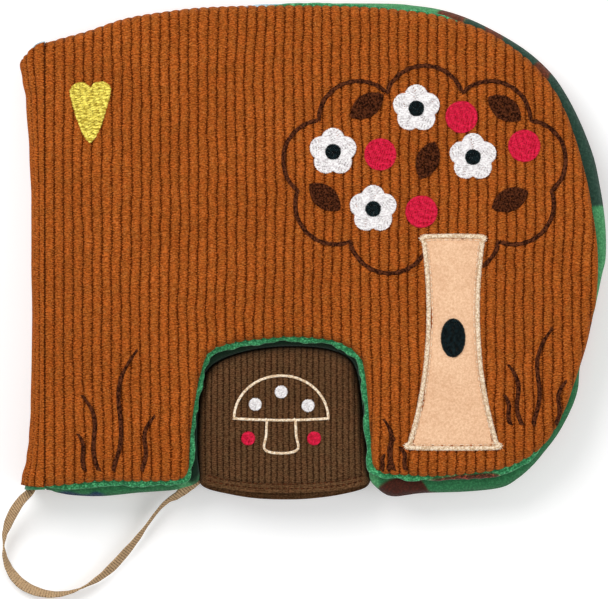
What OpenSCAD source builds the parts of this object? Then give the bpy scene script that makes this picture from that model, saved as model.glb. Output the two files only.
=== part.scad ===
// Padded cloth book with corduroy covers, an arch cut through the whole book,
// and a finger puppet that sits in the arch on a ribbon. Millimetres, +Z up,
// the book lies on its back cover with the spine on the left.

/* [Covers] */
// Length of a cover from the hinge seam to its far edge
cover_length = 194; // [170:1:240]
// Height of a cover from its crown to its feet
cover_height = 167; // [150:1:200]
// Thickness of one padded cover
cover_thick = 7; // [6:0.5:12]
// Thickness of the corduroy, ribs included
corduroy_thick = 2.2; // [1.8:0.1:3]
// Thickness of the printed lining
lining_thick = 0.8; // [0.5:0.1:1.2]
// How far the lining shows past the corduroy
lining_lip = 1.4; // [0.5:0.1:2.5]
// Distance between two ribs of the corduroy
wale_pitch = 3.36; // [2.4:0.02:5]
// Depth of the grooves between the ribs
wale_depth = 1; // [0.6:0.1:1.2]
// How far the top edge drops from its crown to the spine
crown_drop = 13; // [4:0.5:25]
// Distance from the far edge back to the crown of the top edge
crown_reach = 98; // [80:0.5:130]
// Distance from the far edge back to where the foot starts to round
heel_reach = 64; // [40:0.5:70]
// Height of the widest point above the feet
belly_rise = 79.5; // [60:0.5:100]

/* [Arch] */
// Width of the arch at the feet
arch_width = 66; // [50:1:80]
// How much narrower the arch is where its round top starts
arch_taper = 4; // [0:0.5:10]
// Height of the arch above the feet
arch_rise = 50; // [40:1:65]
// Height of the round top of the arch
arch_crown = 22; // [15:1:35]
// Distance from the hinge seam to the middle of the arch
arch_offset = 82.8; // [70:0.1:100]

/* [Pages] */
// Number of padded leaves
leaf_count = 3; // [2:1:4]
// Thickness of one leaf
leaf_thick = 4.4; // [3:0.1:7]
// Width of the pinched seam round a leaf
leaf_seam = 1.6; // [1:0.1:2.5]
// How far the leaves reach past the far edge of the covers
leaf_side = 2.8; // [0.5:0.1:5]
// How far the leaves reach past the top edge
leaf_top = 1.4; // [0.5:0.1:4]
// How far the leaves reach past the feet
leaf_foot = 4.4; // [1:0.1:6]

/* [Spine] */
// How far the soft spine bulges past the hinge seam
spine_bulge = 8.6; // [6:0.1:14]
// Clearance between the spine, the leaves and a cover
hinge_gap = 0.3; // [0.2:0.05:0.6]
// Number of corduroy ribs round the spine
spine_wales = 11; // [8:1:16]
// Length of the slanted corner at the head of the spine
spine_nose = 4.6; // [2:0.1:8]

/* [Puppet] */
// Height of the puppet as it lies
puppet_thick = 21.6; // [16:0.2:24]
// Clearance between the puppet and the lining of the arch
puppet_gap = 1; // [0.9:0.1:3]
// How far the hem of the puppet reaches past the feet
puppet_drop = 6.7; // [5:0.1:10]
// Thickness of a padded wall of the puppet
puppet_wall = 3.4; // [2.5:0.1:4]
// Distance between two ribs of the puppet's finer corduroy
puppet_pitch = 2.1; // [1.6:0.05:3]
// Depth of the grooves of the finer corduroy
puppet_depth = 0.6; // [0.3:0.1:0.9]
// How far the back of the puppet shows past its front at the hem
hem_step = 2.6; // [1:0.1:4]

/* [Embroidery] */
// Height of the thread above the ribs
thread_rise = 0.6; // [0.4:0.1:1]
// Width of a stitched line
line_w = 1.5; // [1:0.1:2.5]
// Half length of the ring that the lobes of the tree crown sit on
crown_long = 36; // [28:1:40]
// Half height of the ring that the lobes of the tree crown sit on
crown_tall = 23; // [18:1:28]
// Radius of one lobe of the tree crown
lobe_r = 14; // [10:0.5:16]
// Number of lobes round the tree crown
lobe_count = 9; // [7:1:11]
// Distance from the far edge back to the middle of the tree crown
tree_inset = 61; // [54:0.5:66]
// Height of the middle of the tree crown above the widest point of the book
tree_rise = 29; // [20:0.5:34]
// Distance from the middle of the tree crown over to the trunk
trunk_shift = 10; // [0:0.5:14]
// Gap between the feet and the foot of the trunk
trunk_gap = 11; // [7:0.5:16]
// How far the trunk reaches up into the tree crown
trunk_reach = 15; // [8:0.5:17]
// Width of the trunk at its waist
trunk_waist = 17; // [12:0.5:22]
// Width of the trunk at its foot
trunk_foot = 33; // [22:0.5:36]
// Width of the satin border round the trunk
border_w = 1.5; // [1:0.1:2]
// Radius of one petal
petal_r = 4.1; // [3:0.1:5]
// Radius of the centre of a blossom
blossom_core = 2.7; // [1.8:0.1:3]
// Radius of a berry
berry_r = 5.6; // [4:0.1:7]
// Length of a leaf of the tree
leaf_len = 14; // [10:0.5:16]
// Width of a leaf of the tree
leaf_w = 8; // [5:0.5:10]
// Height of the longest blade of grass
grass_tall = 42; // [30:1:44]
// Gap between the feet and the roots of the grass
grass_gap = 4; // [3:0.5:8]
// Distance from the hinge seam to the first tuft
first_tuft = 24; // [16:0.5:32]
// Distance from the far edge back to the second tuft
second_tuft = 23; // [20:0.5:26]
// How much higher the root of the second tuft lies
second_tuft_rise = 16; // [12:0.5:24]
// Distance from the arch to the third tuft
third_tuft = 6.5; // [6:0.1:7.5]
// Width of the heart
heart_w = 14.4; // [10:0.2:20]
// Height of the heart
heart_tall = 21.4; // [16:0.2:28]
// Distance from the hinge seam to the middle of the heart
heart_inset = 16; // [12:0.5:50]
// Height of the point of the heart above the widest point of the book
heart_rise = 39; // [20:0.5:44]

/* [Toadstool] */
// Width of the toadstool's cap
cap_w = 33; // [24:0.5:38]
// Height of the toadstool's cap
cap_tall = 15; // [10:0.5:17]
// Width of the toadstool's stalk
stalk_w = 10; // [7:0.5:14]
// Length of the toadstool's stalk
stalk_len = 12; // [8:0.5:14]
// Height of the foot of the stalk above the feet of the book
stool_rise = 10; // [6:0.5:12]
// Width of the line that it is stitched with
fine_w = 1; // [0.7:0.1:1.4]
// Radius of a spot on the cap
spot_r = 2.2; // [1.4:0.1:2.6]
// Radius of the red dots beside the stalk
dot_r = 2.4; // [1.5:0.1:3]

/* [Ribbon] */
// Width of the ribbon
ribbon_w = 5; // [4:0.5:6]
// Thickness of the ribbon
ribbon_thick = 0.8; // [0.5:0.1:1.2]

/* [Hidden] */

// Gap between two layers of one sewn piece
layer_gap = 0.1;
// How far a cutting shape runs past what it cuts
cut_over = 5;
// Size of the slanted corners of a cover and of the leaves at the feet
foot_corner = 1.8;
leaf_corner = 5;
// Exponents of the rounded far side and of the arch: 2 is an ellipse
upper_round = 2.5;
lower_round = 2.6;
arch_round = 3;
drop_round = 2.2;
// Corners of one rib: [share of the pitch, share of the depth]
wale_shape = [[0, 0], [0.16, 0.72], [0.3, 1], [0.7, 1], [0.84, 0.72]];
// The rounded edge of a cover: [share of the thickness, inset in cover edges]
edge_steps = [[0.76, 0], [0.9, 1], [1, 2.4]];
edge_inset = 1;

// Places along X and Y, with the middle of the whole book at 0
book_long = spine_bulge + hinge_gap + cover_length + leaf_side;
hinge_x = -book_long / 2 + spine_bulge + hinge_gap;
far_x = hinge_x + cover_length;
foot_reach = max(leaf_foot, puppet_drop);
book_tall = leaf_top + cover_height + foot_reach;
foot_y = -book_tall / 2 + foot_reach;
top_y = foot_y + cover_height;
belly_y = foot_y + belly_rise;
crown_x = far_x - crown_reach;
heel_x = far_x - heel_reach;
arch_x = hinge_x + arch_offset;

// Heights of the layers
pages_z = cover_thick + hinge_gap;
pages_thick = leaf_count * leaf_thick;
front_z = pages_z + pages_thick + hinge_gap;
book_thick = front_z + cover_thick;

// Ends of the spine, where its section is whole
spine_end_x = hinge_x - hinge_gap;
spine_top_y = top_edge(hinge_x, 0);
spine_head_y = spine_top_y - spine_nose * 4 / 3;
spine_low_y = foot_y + corduroy_thick;
spine_high_y = spine_head_y - corduroy_thick;

// Points of a rounded quarter from angle a to angle b, n is its exponent
function quarter(cx, cy, rx, ry, n, a, b, steps) = [
  for (i = [0:steps])
    let (t = a + (b - a) * i / steps, c = cos(t), s = sin(t))
    [cx + rx * sign(c) * pow(abs(c), 2 / n), cy + ry * sign(s) * pow(abs(s), 2 / n)]
];

// Top edge at x, as it falls from the crown towards the spine
function top_edge(x, grow) =
  top_y + grow - crown_drop * pow((crown_x - x) / (crown_x - hinge_x), drop_round);

// The arch, grown inwards by grow, from its right foot over to its left foot
function arch_points(grow, foot, corner) =
  let (half = arch_width / 2 - grow, waist = half - arch_taper / 2,
       spring_y = foot_y + arch_rise - arch_crown)
  concat(
    [[arch_x + half + corner, foot], [arch_x + half, foot + corner]],
    quarter(arch_x, spring_y, waist, arch_crown - grow, arch_round, 0, 180, 24),
    [[arch_x - half, foot + corner], [arch_x - half - corner, foot]]
  );

// Outline of the book from start_x on, anticlockwise from the foot of the spine.
// Each value grows its own edge outwards.
function book_points(start_x, top, side, foot, arch, corner = foot_corner) = concat(
  arch_points(arch, foot_y - foot, corner),
  [[start_x, foot_y - foot]],
  [for (i = [0:8])
    let (x = start_x + (crown_x - start_x) * (1 - pow(1 - i / 9, 1.6)))
    [x, top_edge(max(x, hinge_x), top)]],
  quarter(crown_x, belly_y, far_x + side - crown_x, top_y + top - belly_y,
    upper_round, 90, 0, 18),
  quarter(heel_x, belly_y, far_x + side - heel_x, belly_y - foot_y + foot,
    lower_round, -5, -90, 15)
);

module outline(inset) {
  polygon(book_points(hinge_x + inset, -inset, -inset, -inset, -inset));
}

// Ribs side by side along X, their tops at z = 0, with a rib centred on x = 0
module rib_field(length, low_y, high_y, pitch, depth, below) {
  count = ceil(length / pitch) + 1;
  start = -pitch * (count + 0.5);
  crests = [
    for (i = [0:2 * count], s = wale_shape)
      [start + (i + s[0]) * pitch, (s[1] - 1) * depth]
  ];
  last = start + (2 * count + 1) * pitch;
  translate([0, high_y, 0]) rotate([90, 0, 0]) linear_extrude(high_y - low_y)
    polygon(concat([[start, -below]], crests, [[last, -depth], [last, -below]]));
}

// One padded cover lying with its lining at z = 0 and its ribs on top
module cover_corduroy() {
  difference() {
    intersection() {
      for (s = edge_steps)
        translate([0, 0, lining_thick + layer_gap])
          linear_extrude(cover_thick * s[0] - lining_thick - layer_gap)
            outline(edge_inset * s[1]);
      translate([0, 0, cover_thick])
        rib_field(book_long / 2, foot_y - cut_over, top_y + cut_over, wale_pitch, wale_depth,
          cover_thick);
    }
    linear_extrude(cover_thick - corduroy_thick) outline(corduroy_thick);
  }
}

module cover_padding() {
  floor_z = lining_thick + layer_gap;
  translate([0, 0, floor_z])
    linear_extrude(cover_thick - corduroy_thick - layer_gap - floor_z)
      outline(corduroy_thick + layer_gap);
}

// The lining shows past the corduroy at the feet and all round the arch
module cover_lining() {
  linear_extrude(lining_thick)
    polygon(book_points(hinge_x, 0, 0, lining_lip, lining_lip));
}

module to_front() {
  translate([0, 0, front_z]) children();
}

module to_back() {
  translate([0, 0, cover_thick]) mirror([0, 0, 1]) children();
}

module front_corduroy() {
  color("sienna") to_front() cover_corduroy();
}

module front_padding() {
  color("ivory") to_front() cover_padding();
}

module front_lining() {
  color("seagreen") to_front() cover_lining();
}

module back_corduroy() {
  color("sienna") to_back() cover_corduroy();
}

module back_padding() {
  color("ivory") to_back() cover_padding();
}

module back_lining() {
  color("seagreen") to_back() cover_lining();
}

// The leaves are one block with a pinched seam standing out on each leaf
module pages() {
  seam_half = leaf_thick * 0.3;
  color("mediumseagreen") translate([0, 0, pages_z]) {
    linear_extrude(pages_thick)
      polygon(book_points(spine_end_x, leaf_top - leaf_seam, leaf_side - leaf_seam,
        leaf_foot - leaf_seam, -leaf_seam, leaf_corner));
    for (i = [0:leaf_count - 1])
      translate([0, 0, (i + 0.5) * leaf_thick - seam_half])
        linear_extrude(2 * seam_half)
          polygon(book_points(spine_end_x, leaf_top, leaf_side, leaf_foot, 0, leaf_corner));
  }
}

// Half oval of the spine's section, inset all round, with ribs where ribs > 0
module spine_section(inset, ribs) {
  half = book_thick / 2 - hinge_gap - inset;
  bulge = spine_bulge - inset;
  steps = ribs > 0 ? ribs : 16;
  notches = ribs > 0 ? wale_shape : [[0, 1]];
  polygon([
    for (i = [0:steps], s = notches)
      let (u = min((i + s[0]) / steps, 1), t = 90 + 180 * u,
           cut = i < steps ? (1 - s[1]) * wale_depth : 0)
      [(bulge - cut) * cos(t), (half - cut) * sin(t)]
  ]);
}

// Stands the section up along Y between two heights, and ends it at the leaves
module along_spine(low_y, high_y) {
  translate([spine_end_x, high_y, book_thick / 2]) rotate([90, 0, 0])
    linear_extrude(high_y - low_y) children();
}

module spine_corduroy() {
  outer_x = spine_end_x - spine_bulge;
  color("peru") difference() {
    intersection() {
      along_spine(foot_y, spine_top_y) spine_section(0, spine_wales);
      linear_extrude(book_thick)
        polygon([
          [spine_end_x, foot_y], [spine_end_x, spine_top_y],
          [outer_x + spine_nose, spine_top_y - spine_nose / 3], [outer_x, spine_head_y],
          [outer_x, foot_y + foot_corner], [outer_x + foot_corner, foot_y]
        ]);
    }
    along_spine(spine_low_y, spine_high_y) spine_section(corduroy_thick, 0);
  }
}

module spine_padding() {
  inner_x = spine_end_x - lining_thick - layer_gap;
  color("ivory") intersection() {
    along_spine(spine_low_y + layer_gap, spine_high_y - layer_gap)
      spine_section(corduroy_thick + layer_gap, 0);
    translate([inner_x - book_long, -book_tall / 2, 0]) cube([book_long, book_tall, book_thick]);
  }
}

// Strip that closes the spine on the side of the leaves, sewn to the block
module spine_lining() {
  low_y = spine_low_y + layer_gap;
  low_z = hinge_gap + corduroy_thick + layer_gap + 1;
  color("seagreen") translate([spine_end_x - lining_thick, low_y, low_z])
    cube([lining_thick, spine_high_y - layer_gap - low_y, book_thick - 2 * low_z]);
}

// Embroidery: thin plates of thread that lie on the ribs of the front cover
tree_x = far_x - tree_inset;
tree_y = belly_y + tree_rise;
trunk_x = tree_x + trunk_shift;
trunk_y = foot_y + trunk_gap;
trunk_len = tree_y - crown_tall - lobe_r + trunk_reach - trunk_y;
trunk_flare = trunk_waist / 6;

module thread(lift = 0) {
  translate([0, 0, book_thick + lift * thread_rise]) linear_extrude(thread_rise) children();
}

module crown_cloud(r) {
  for (i = [0:lobe_count - 1])
    let (t = 90 + 360 * i / lobe_count)
    translate([crown_long * cos(t), crown_tall * sin(t)]) circle(r, $fn = 48);
  for (k = [-1, 1])
    translate([k * (crown_long - crown_tall), 0]) circle(crown_tall, $fn = 48);
  square([2 * (crown_long - crown_tall), 2 * crown_tall], center = true);
}

// Half width of the trunk at share u of its length, measured from the foot
function trunk_half(u) =
  trunk_waist / 2 + (trunk_foot - trunk_waist) / 2 * pow(1 - u, 3) + trunk_flare * pow(u, 4);

// Trunk with a rounded foot and a rounded top, grown outwards by grow
module trunk_shape(grow) {
  steps = 12;
  polygon(concat(
    [for (i = [0:steps])
      let (u = i / steps)
      [trunk_half(u) + grow, trunk_len * u + grow * (2 * u - 1)]],
    [for (i = [steps:-1:0])
      let (u = i / steps)
      [-trunk_half(u) - grow, trunk_len * u + grow * (2 * u - 1)]]
  ));
}

module crown_outline() {
  color("saddlebrown") thread() difference() {
    translate([tree_x, tree_y]) difference() {
      crown_cloud(lobe_r + line_w / 2);
      crown_cloud(lobe_r - line_w / 2);
    }
    translate([trunk_x, trunk_y]) trunk_shape(layer_gap);
  }
}

module trunk_patch() {
  color("wheat") thread() translate([trunk_x, trunk_y]) trunk_shape(-border_w - layer_gap);
}

module trunk_border() {
  color("cornsilk") thread() translate([trunk_x, trunk_y]) difference() {
    trunk_shape(0);
    trunk_shape(-border_w);
  }
}

module knot_hole() {
  hole_r = trunk_waist / 4;
  color("black") thread(1) translate([trunk_x, trunk_y + trunk_len * 0.52])
    for (k = [-1, 1])
      translate([0, k * hole_r * 0.6]) circle(hole_r, $fn = 32);
}

// Places in the tree crown, as shares of crown_long and crown_tall, and the
// turn of a leaf
blossom_places = [[-0.89, 0.3], [-0.08, 0.96], [0.47, 0.22], [-0.5, -0.57]];
berry_places = [[-0.43, 0.26], [0.36, 0.83], [0.97, 0.39], [-0.03, -0.61]];
leaf_places = [
  [-0.56, 1, 35], [0.78, 0.96, -35], [0.03, 0.17, 70], [-0.97, -0.39, -40], [0.83, -0.43, 25]
];

module at_tree(place) {
  translate([tree_x + place[0] * crown_long, tree_y + place[1] * crown_tall]) children();
}

module blossom(place) {
  color("white") thread() at_tree(place)
    for (i = [0:4])
      rotate(72 * i + 18) translate([petal_r * 1.05, 0]) circle(petal_r, $fn = 32);
}

module blossom_core(place) {
  color("black") thread(1) at_tree(place) circle(blossom_core, $fn = 32);
}

module berry(place) {
  color("crimson") thread() at_tree(place) circle(berry_r, $fn = 48);
}

// Pointed oval where two equal circles cross
module tree_leaf(place) {
  r = (leaf_len * leaf_len + leaf_w * leaf_w) / (4 * leaf_w);
  color("saddlebrown") thread() at_tree(place) rotate(place[2]) intersection() {
    translate([0, r - leaf_w / 2]) circle(r, $fn = 64);
    translate([0, leaf_w / 2 - r]) circle(r, $fn = 64);
  }
}

// One bent blade that leans sideways as it rises and ends in a point
module blade(tall, lean, foot_x) {
  steps = 10;
  spine = [
    for (i = [0:steps])
      let (u = i / steps)
      [foot_x + lean * (u * u + 0.25 * sin(360 * u)), tall * u]
  ];
  function half(i) = line_w / 2 * (1.15 - i / steps);
  polygon(concat(
    [for (i = [0:steps]) spine[i] + [half(i), 0]],
    [for (i = [steps:-1:0]) spine[i] - [half(i), 0]]
  ));
}

// A tuft has four blades: [x of its root, its y, side it leans to, share of the height]
tuft_places = [
  [hinge_x + first_tuft, foot_y + grass_gap, 1, 1],
  [far_x - second_tuft, foot_y + grass_gap + second_tuft_rise, 1, 0.8],
  [arch_x + arch_width / 2 + third_tuft, foot_y + grass_gap, -1, 0.42]
];
// Its blades: [share of the height, share of the lean, roots beside the middle in line widths]
tuft_blades = [[1, 1, 0], [0.62, -1.1, -0.27], [0.45, 1.2, 0.53], [0.3, -0.9, -0.53]];

module grass_tuft(place) {
  tall = grass_tall * place[3];
  lean = place[2] * tall / 5;
  color("saddlebrown") thread() translate([place[0], place[1]])
    for (b = tuft_blades) blade(tall * b[0], lean * b[1], place[2] * line_w * b[2]);
}

module heart() {
  half = heart_w / 2;
  lobe = heart_w * 0.27;
  shoulder = heart_tall - lobe;
  steps = 8;
  flank = [for (i = [0:steps]) let (u = i / steps) [half * pow(u, 0.8), shoulder * u]];
  color("gold") thread() translate([hinge_x + heart_inset, belly_y + heart_rise]) {
    for (k = [-1, 1])
      translate([k * (half - lobe), shoulder]) circle(lobe, $fn = 32);
    polygon(concat(flank, [for (i = [steps:-1:1]) [-flank[i][0], flank[i][1]]]));
  }
}

// Finger puppet: two padded panels joined half way up, open at the hem
puppet_half = arch_width / 2 - lining_lip - puppet_gap;
puppet_z = hinge_gap;
puppet_top = puppet_z + puppet_thick;
seam_z = puppet_z + puppet_thick / 2;
puppet_foot = foot_y - puppet_drop;
puppet_head = foot_y + arch_rise - lining_lip - puppet_gap;

module puppet_shape(inset, hem_y) {
  half = puppet_half - inset;
  waist = half - arch_taper / 2;
  spring_y = foot_y + arch_rise - arch_crown;
  polygon(concat(
    [[arch_x - half, hem_y], [arch_x + half, hem_y]],
    quarter(arch_x, spring_y, waist, puppet_head - spring_y - inset, arch_round, 0, 180, 24)
  ));
}

// Rounded edge of the puppet: [share of a panel's height, inset]
puppet_steps = [[0.45, 0], [0.75, 1.6], [1, 4]];

// One panel with its seam at z = 0 and its ribs at the top
module puppet_panel(hem_y) {
  tall = puppet_thick / 2;
  difference() {
    intersection() {
      for (s = puppet_steps)
        translate([0, 0, layer_gap]) linear_extrude(tall * s[0] - layer_gap)
          puppet_shape(s[1], hem_y + s[1] / 2);
      translate([0, 0, tall])
        rib_field(book_long / 2, puppet_foot - cut_over, puppet_head + cut_over, puppet_pitch,
          puppet_depth, tall);
    }
    linear_extrude(tall - puppet_wall) puppet_shape(puppet_wall, hem_y - cut_over);
  }
}

module puppet_front() {
  color("saddlebrown") translate([0, 0, seam_z]) puppet_panel(puppet_foot + hem_step);
}

module puppet_back() {
  color("saddlebrown") translate([0, 0, seam_z]) mirror([0, 0, 1]) puppet_panel(puppet_foot);
}

// Stitched toadstool on the puppet
stool_y = foot_y + stool_rise;
cap_y = stool_y + stalk_len;

module fine_thread() {
  translate([0, 0, puppet_top]) linear_extrude(thread_rise) children();
}

module cap_shape(grow) {
  polygon(quarter(arch_x, cap_y - grow, cap_w / 2 + grow, cap_tall + 2 * grow, 2, 0, 180, 24));
}

module toadstool_outline() {
  color("cornsilk") fine_thread() {
    difference() {
      cap_shape(0);
      cap_shape(-fine_w);
    }
    for (k = [-1, 1])
      translate([arch_x + k * (stalk_w - fine_w) / 2 - fine_w / 2, stool_y])
        square([fine_w, stalk_len + fine_w / 2]);
    translate([arch_x - cap_w / 2, stool_y - fine_w]) square([cap_w, fine_w]);
  }
}

// Places of the spots, as shares of the cap's half width and height, and of the
// dots beside the stalk
spot_places = [[-0.55, 0.33], [0, 0.62], [0.57, 0.3]];
dot_places = [[-0.7, 0.42], [0.7, 0.42]];

module toadstool_spot(place) {
  color("white") fine_thread()
    translate([arch_x + cap_w / 2 * place[0], cap_y + cap_tall * place[1]])
      circle(spot_r, $fn = 32);
}

module red_dot(place) {
  color("crimson") fine_thread()
    translate([arch_x + cap_w / 2 * place[0], stool_y + stalk_len * place[1]])
      circle(dot_r, $fn = 32);
}

// Ribbon, from the foot of the spine to the side of the puppet: the middle of its
// width from its start, its height, and the turn of its width from level
ribbon_start = [spine_end_x - spine_bulge / 2, foot_y];
ribbon_route = [
  [0, 0, 12, 20], [0, -2, 12, 20], [-1.2, -4.2, 11.6, 20], [-4, -7, 10.6, 25],
  [-6.6, -10.8, 9, 30], [-8.6, -14.8, 7.2, 45], [-10, -18.8, 5.6, 65],
  [-10.4, -22.8, 4.4, 75], [-10, -26.8, 3.6, 65], [-8.6, -30.8, 3, 45],
  [-6.4, -34.2, 2.6, 30], [-3.6, -36.8, 2.4, 22], [0.2, -38.8, 2.4, 20],
  [4.8, -40, 2.6, 28], [9, -40.1, 2.8, 45], [13.3, -39.3, 3, 70], [18, -37.5, 3.1, 95],
  [23.4, -34.3, 3.2, 122], [28, -30.4, 3.2, 142], [32.2, -25.8, 3.4, 150],
  [36.3, -20.9, 3.8, 145], [40.2, -15.6, 4.4, 125], [43.8, -10.8, 5.4, 110],
  [47.2, -7.4, 6.6, 105], [50.6, -5.4, 7.6, 100], [53.6, -3, 8.2, 100],
  [56.1, -0.9, 8.4, 100], [58.3, 1, 8.4, 100]
];

// Section of the flat ribbon: an oval of eight sides
ribbon_ring = [
  for (i = [0:7])
    let (t = 22.5 + 45 * i)
    [ribbon_w / 2 * cos(t) / cos(22.5), ribbon_thick / 2 * sin(t) / cos(22.5)]
];

module ribbon() {
  n = len(ribbon_route);
  function spot(i) =
    let (p = ribbon_route[i]) [ribbon_start[0] + p[0], ribbon_start[1] + p[1], p[2]];
  function ahead(i) =
    let (d = spot(min(i + 1, n - 1)) - spot(max(i - 1, 0))) d / norm(d);
  points = [
    for (i = [0:n - 1])
      let (a = ahead(i), level = cross(a, [0, 0, 1]), side = level / norm(level),
           up = cross(side, a), turn = ribbon_route[i][3],
           wide = side * cos(turn) + up * sin(turn), thin = up * cos(turn) - side * sin(turn))
      for (q = ribbon_ring) spot(i) + wide * q[0] + thin * q[1]
  ];
  walls = [
    for (i = [0:n - 2], k = [0:7])
      let (j = (k + 1) % 8, a = i * 8, b = a + 8)
      each [[a + k, a + j, b + j], [a + k, b + j, b + k]]
  ];
  color("burlywood") polyhedron(points, concat(
    [[for (k = [7:-1:0]) k]], walls, [[for (k = [0:7]) (n - 1) * 8 + k]]));
}

pages();
spine_corduroy();
spine_padding();
spine_lining();
front_corduroy();
front_padding();
front_lining();
back_corduroy();
back_padding();
back_lining();
crown_outline();
trunk_patch();
trunk_border();
knot_hole();
blossom(blossom_places[0]);  // blossom_1
blossom(blossom_places[1]);  // blossom_2
blossom(blossom_places[2]);  // blossom_3
blossom(blossom_places[3]);  // blossom_4
blossom_core(blossom_places[0]);  // blossom_core_1
blossom_core(blossom_places[1]);  // blossom_core_2
blossom_core(blossom_places[2]);  // blossom_core_3
blossom_core(blossom_places[3]);  // blossom_core_4
berry(berry_places[0]);  // berry_1
berry(berry_places[1]);  // berry_2
berry(berry_places[2]);  // berry_3
berry(berry_places[3]);  // berry_4
tree_leaf(leaf_places[0]);  // tree_leaf_1
tree_leaf(leaf_places[1]);  // tree_leaf_2
tree_leaf(leaf_places[2]);  // tree_leaf_3
tree_leaf(leaf_places[3]);  // tree_leaf_4
tree_leaf(leaf_places[4]);  // tree_leaf_5
grass_tuft(tuft_places[0]);  // grass_tuft_1
grass_tuft(tuft_places[1]);  // grass_tuft_2
grass_tuft(tuft_places[2]);  // grass_tuft_3
heart();
puppet_front();
puppet_back();
toadstool_outline();
toadstool_spot(spot_places[0]);  // toadstool_spot_1
toadstool_spot(spot_places[1]);  // toadstool_spot_2
toadstool_spot(spot_places[2]);  // toadstool_spot_3
red_dot(dot_places[0]);  // red_dot_1
red_dot(dot_places[1]);  // red_dot_2
ribbon();
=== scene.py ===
import math
import random

import bmesh
import bpy
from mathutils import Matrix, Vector, kdtree, noise


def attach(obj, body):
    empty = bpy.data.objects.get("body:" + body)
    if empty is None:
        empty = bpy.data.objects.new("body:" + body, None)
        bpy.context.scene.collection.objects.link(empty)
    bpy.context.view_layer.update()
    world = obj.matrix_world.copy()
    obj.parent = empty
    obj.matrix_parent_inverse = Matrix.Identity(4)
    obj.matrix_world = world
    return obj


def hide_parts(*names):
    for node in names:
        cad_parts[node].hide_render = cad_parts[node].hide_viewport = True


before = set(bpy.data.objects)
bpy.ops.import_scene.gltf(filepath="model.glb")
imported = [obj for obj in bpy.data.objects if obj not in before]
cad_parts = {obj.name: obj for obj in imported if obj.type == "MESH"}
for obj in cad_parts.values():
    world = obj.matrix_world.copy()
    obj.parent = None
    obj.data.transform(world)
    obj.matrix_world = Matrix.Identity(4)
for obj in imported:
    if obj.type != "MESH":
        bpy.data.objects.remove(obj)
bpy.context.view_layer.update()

mm = 0.001
bookTop = 27.8        # crests of the front cover's ribs
hingeX = -93.95       # both covers turn on this line
scene = bpy.context.scene
print("frame loaded:", len(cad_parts), "nodes")


# Camera, straight above the book with a long lens
view = {"x": -3.15, "y": -17.15, "wide": 212.8, "high": 4000, "sensor": 36, "clip": (0.05, 20)}
lens = bpy.data.cameras.new("photo_camera")
lens.sensor_width = view["sensor"]
lens.lens = view["sensor"] * view["high"] / view["wide"]
lens.clip_start, lens.clip_end = view["clip"]
eye = bpy.data.objects.new("photo_camera", lens)
eye.location = (view["x"] * mm, view["y"] * mm, (view["high"] + bookTop) * mm)
scene.collection.objects.link(eye)
scene.camera = eye
scene.view_settings.view_transform = "Standard"


# Small helpers for plan curves, all in millimetres

def mix(a, b, t):
    return a + (b - a) * t


def smoothStep(low, high, x):
    t = min(max((x - low) / (high - low), 0), 1)
    return t * t * (3 - 2 * t)


def wobble(x, y, size, seed):
    return noise.noise(Vector((x / size, y / size, seed)))


def smoothLine(points, step, closed=True):
    # a rounded line through the points, then cut into even steps
    points = [Vector(p) for p in points]
    n = len(points)
    dense = []
    for i in range(n if closed else n - 1):
        if closed:
            a, b, c, d = (points[(i + k) % n] for k in (-1, 0, 1, 2))
        else:
            a, b, c, d = (points[min(max(i + k, 0), n - 1)] for k in (-1, 0, 1, 2))
        for k in range(16):
            t = k / 16
            dense.append(0.5 * (2 * b + (c - a) * t + (2 * a - 5 * b + 4 * c - d) * t * t
                                + (3 * b - 3 * c + d - a) * t ** 3))
    dense.append(dense[0].copy() if closed else points[-1])
    total = sum((q - p).length for p, q in zip(dense, dense[1:]))
    count = max(round(total / step), 2)
    gap, run, line = total / count, 0.0, []
    for p, q in zip(dense, dense[1:]):
        part = (q - p).length
        while part > 0 and run <= part and len(line) <= count:
            line.append(p.lerp(q, run / part))
            run += gap
        run -= part
    return line[:count] if closed else line[:count] + [dense[-1]]


def planOutline(points, step=0.25, shift=0.0):
    # closed line with its outward directions and a search tree
    line = smoothLine([(x, y, 0) for x, y in points], step)
    turned = sum(p.x * q.y - q.x * p.y for p, q in zip(line, line[1:] + line[:1]))
    if turned < 0:
        line.reverse()
    n = len(line)
    out = []
    for i in range(n):
        way = line[(i + 1) % n] - line[i - 1]
        out.append(Vector((way.y, -way.x, 0)).normalized())
    if shift:
        line = [p + o * shift for p, o in zip(line, out)]
    tree = kdtree.KDTree(n)
    for i, p in enumerate(line):
        tree.insert(p, i)
    tree.balance()
    return {"line": line, "out": out, "tree": tree}


def edgeDepth(outline, x, y, near=2):
    # how far inside the outline a point is, less than nothing outside it; near the line
    # only the part square to it counts, so the steps between its points don't show
    spot, i, away = outline["tree"].find((x, y, 0))
    out = outline["out"][i]
    side = (x - spot.x) * out.x + (y - spot.y) * out.y
    if away < near:
        return -side
    return away if side < 0 else -away


def evenRow(low, high, count):
    return [mix(low, high, i / count) for i in range(count + 1)]


def markWeave(v, weave, place):
    # the cloth's own coordinates, kept for the material: ribs across, millimetres along
    for loop in v.link_loops:
        loop[weave].uv = place


def flatAt(x, y):
    return Vector((x, y, 0))


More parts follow.
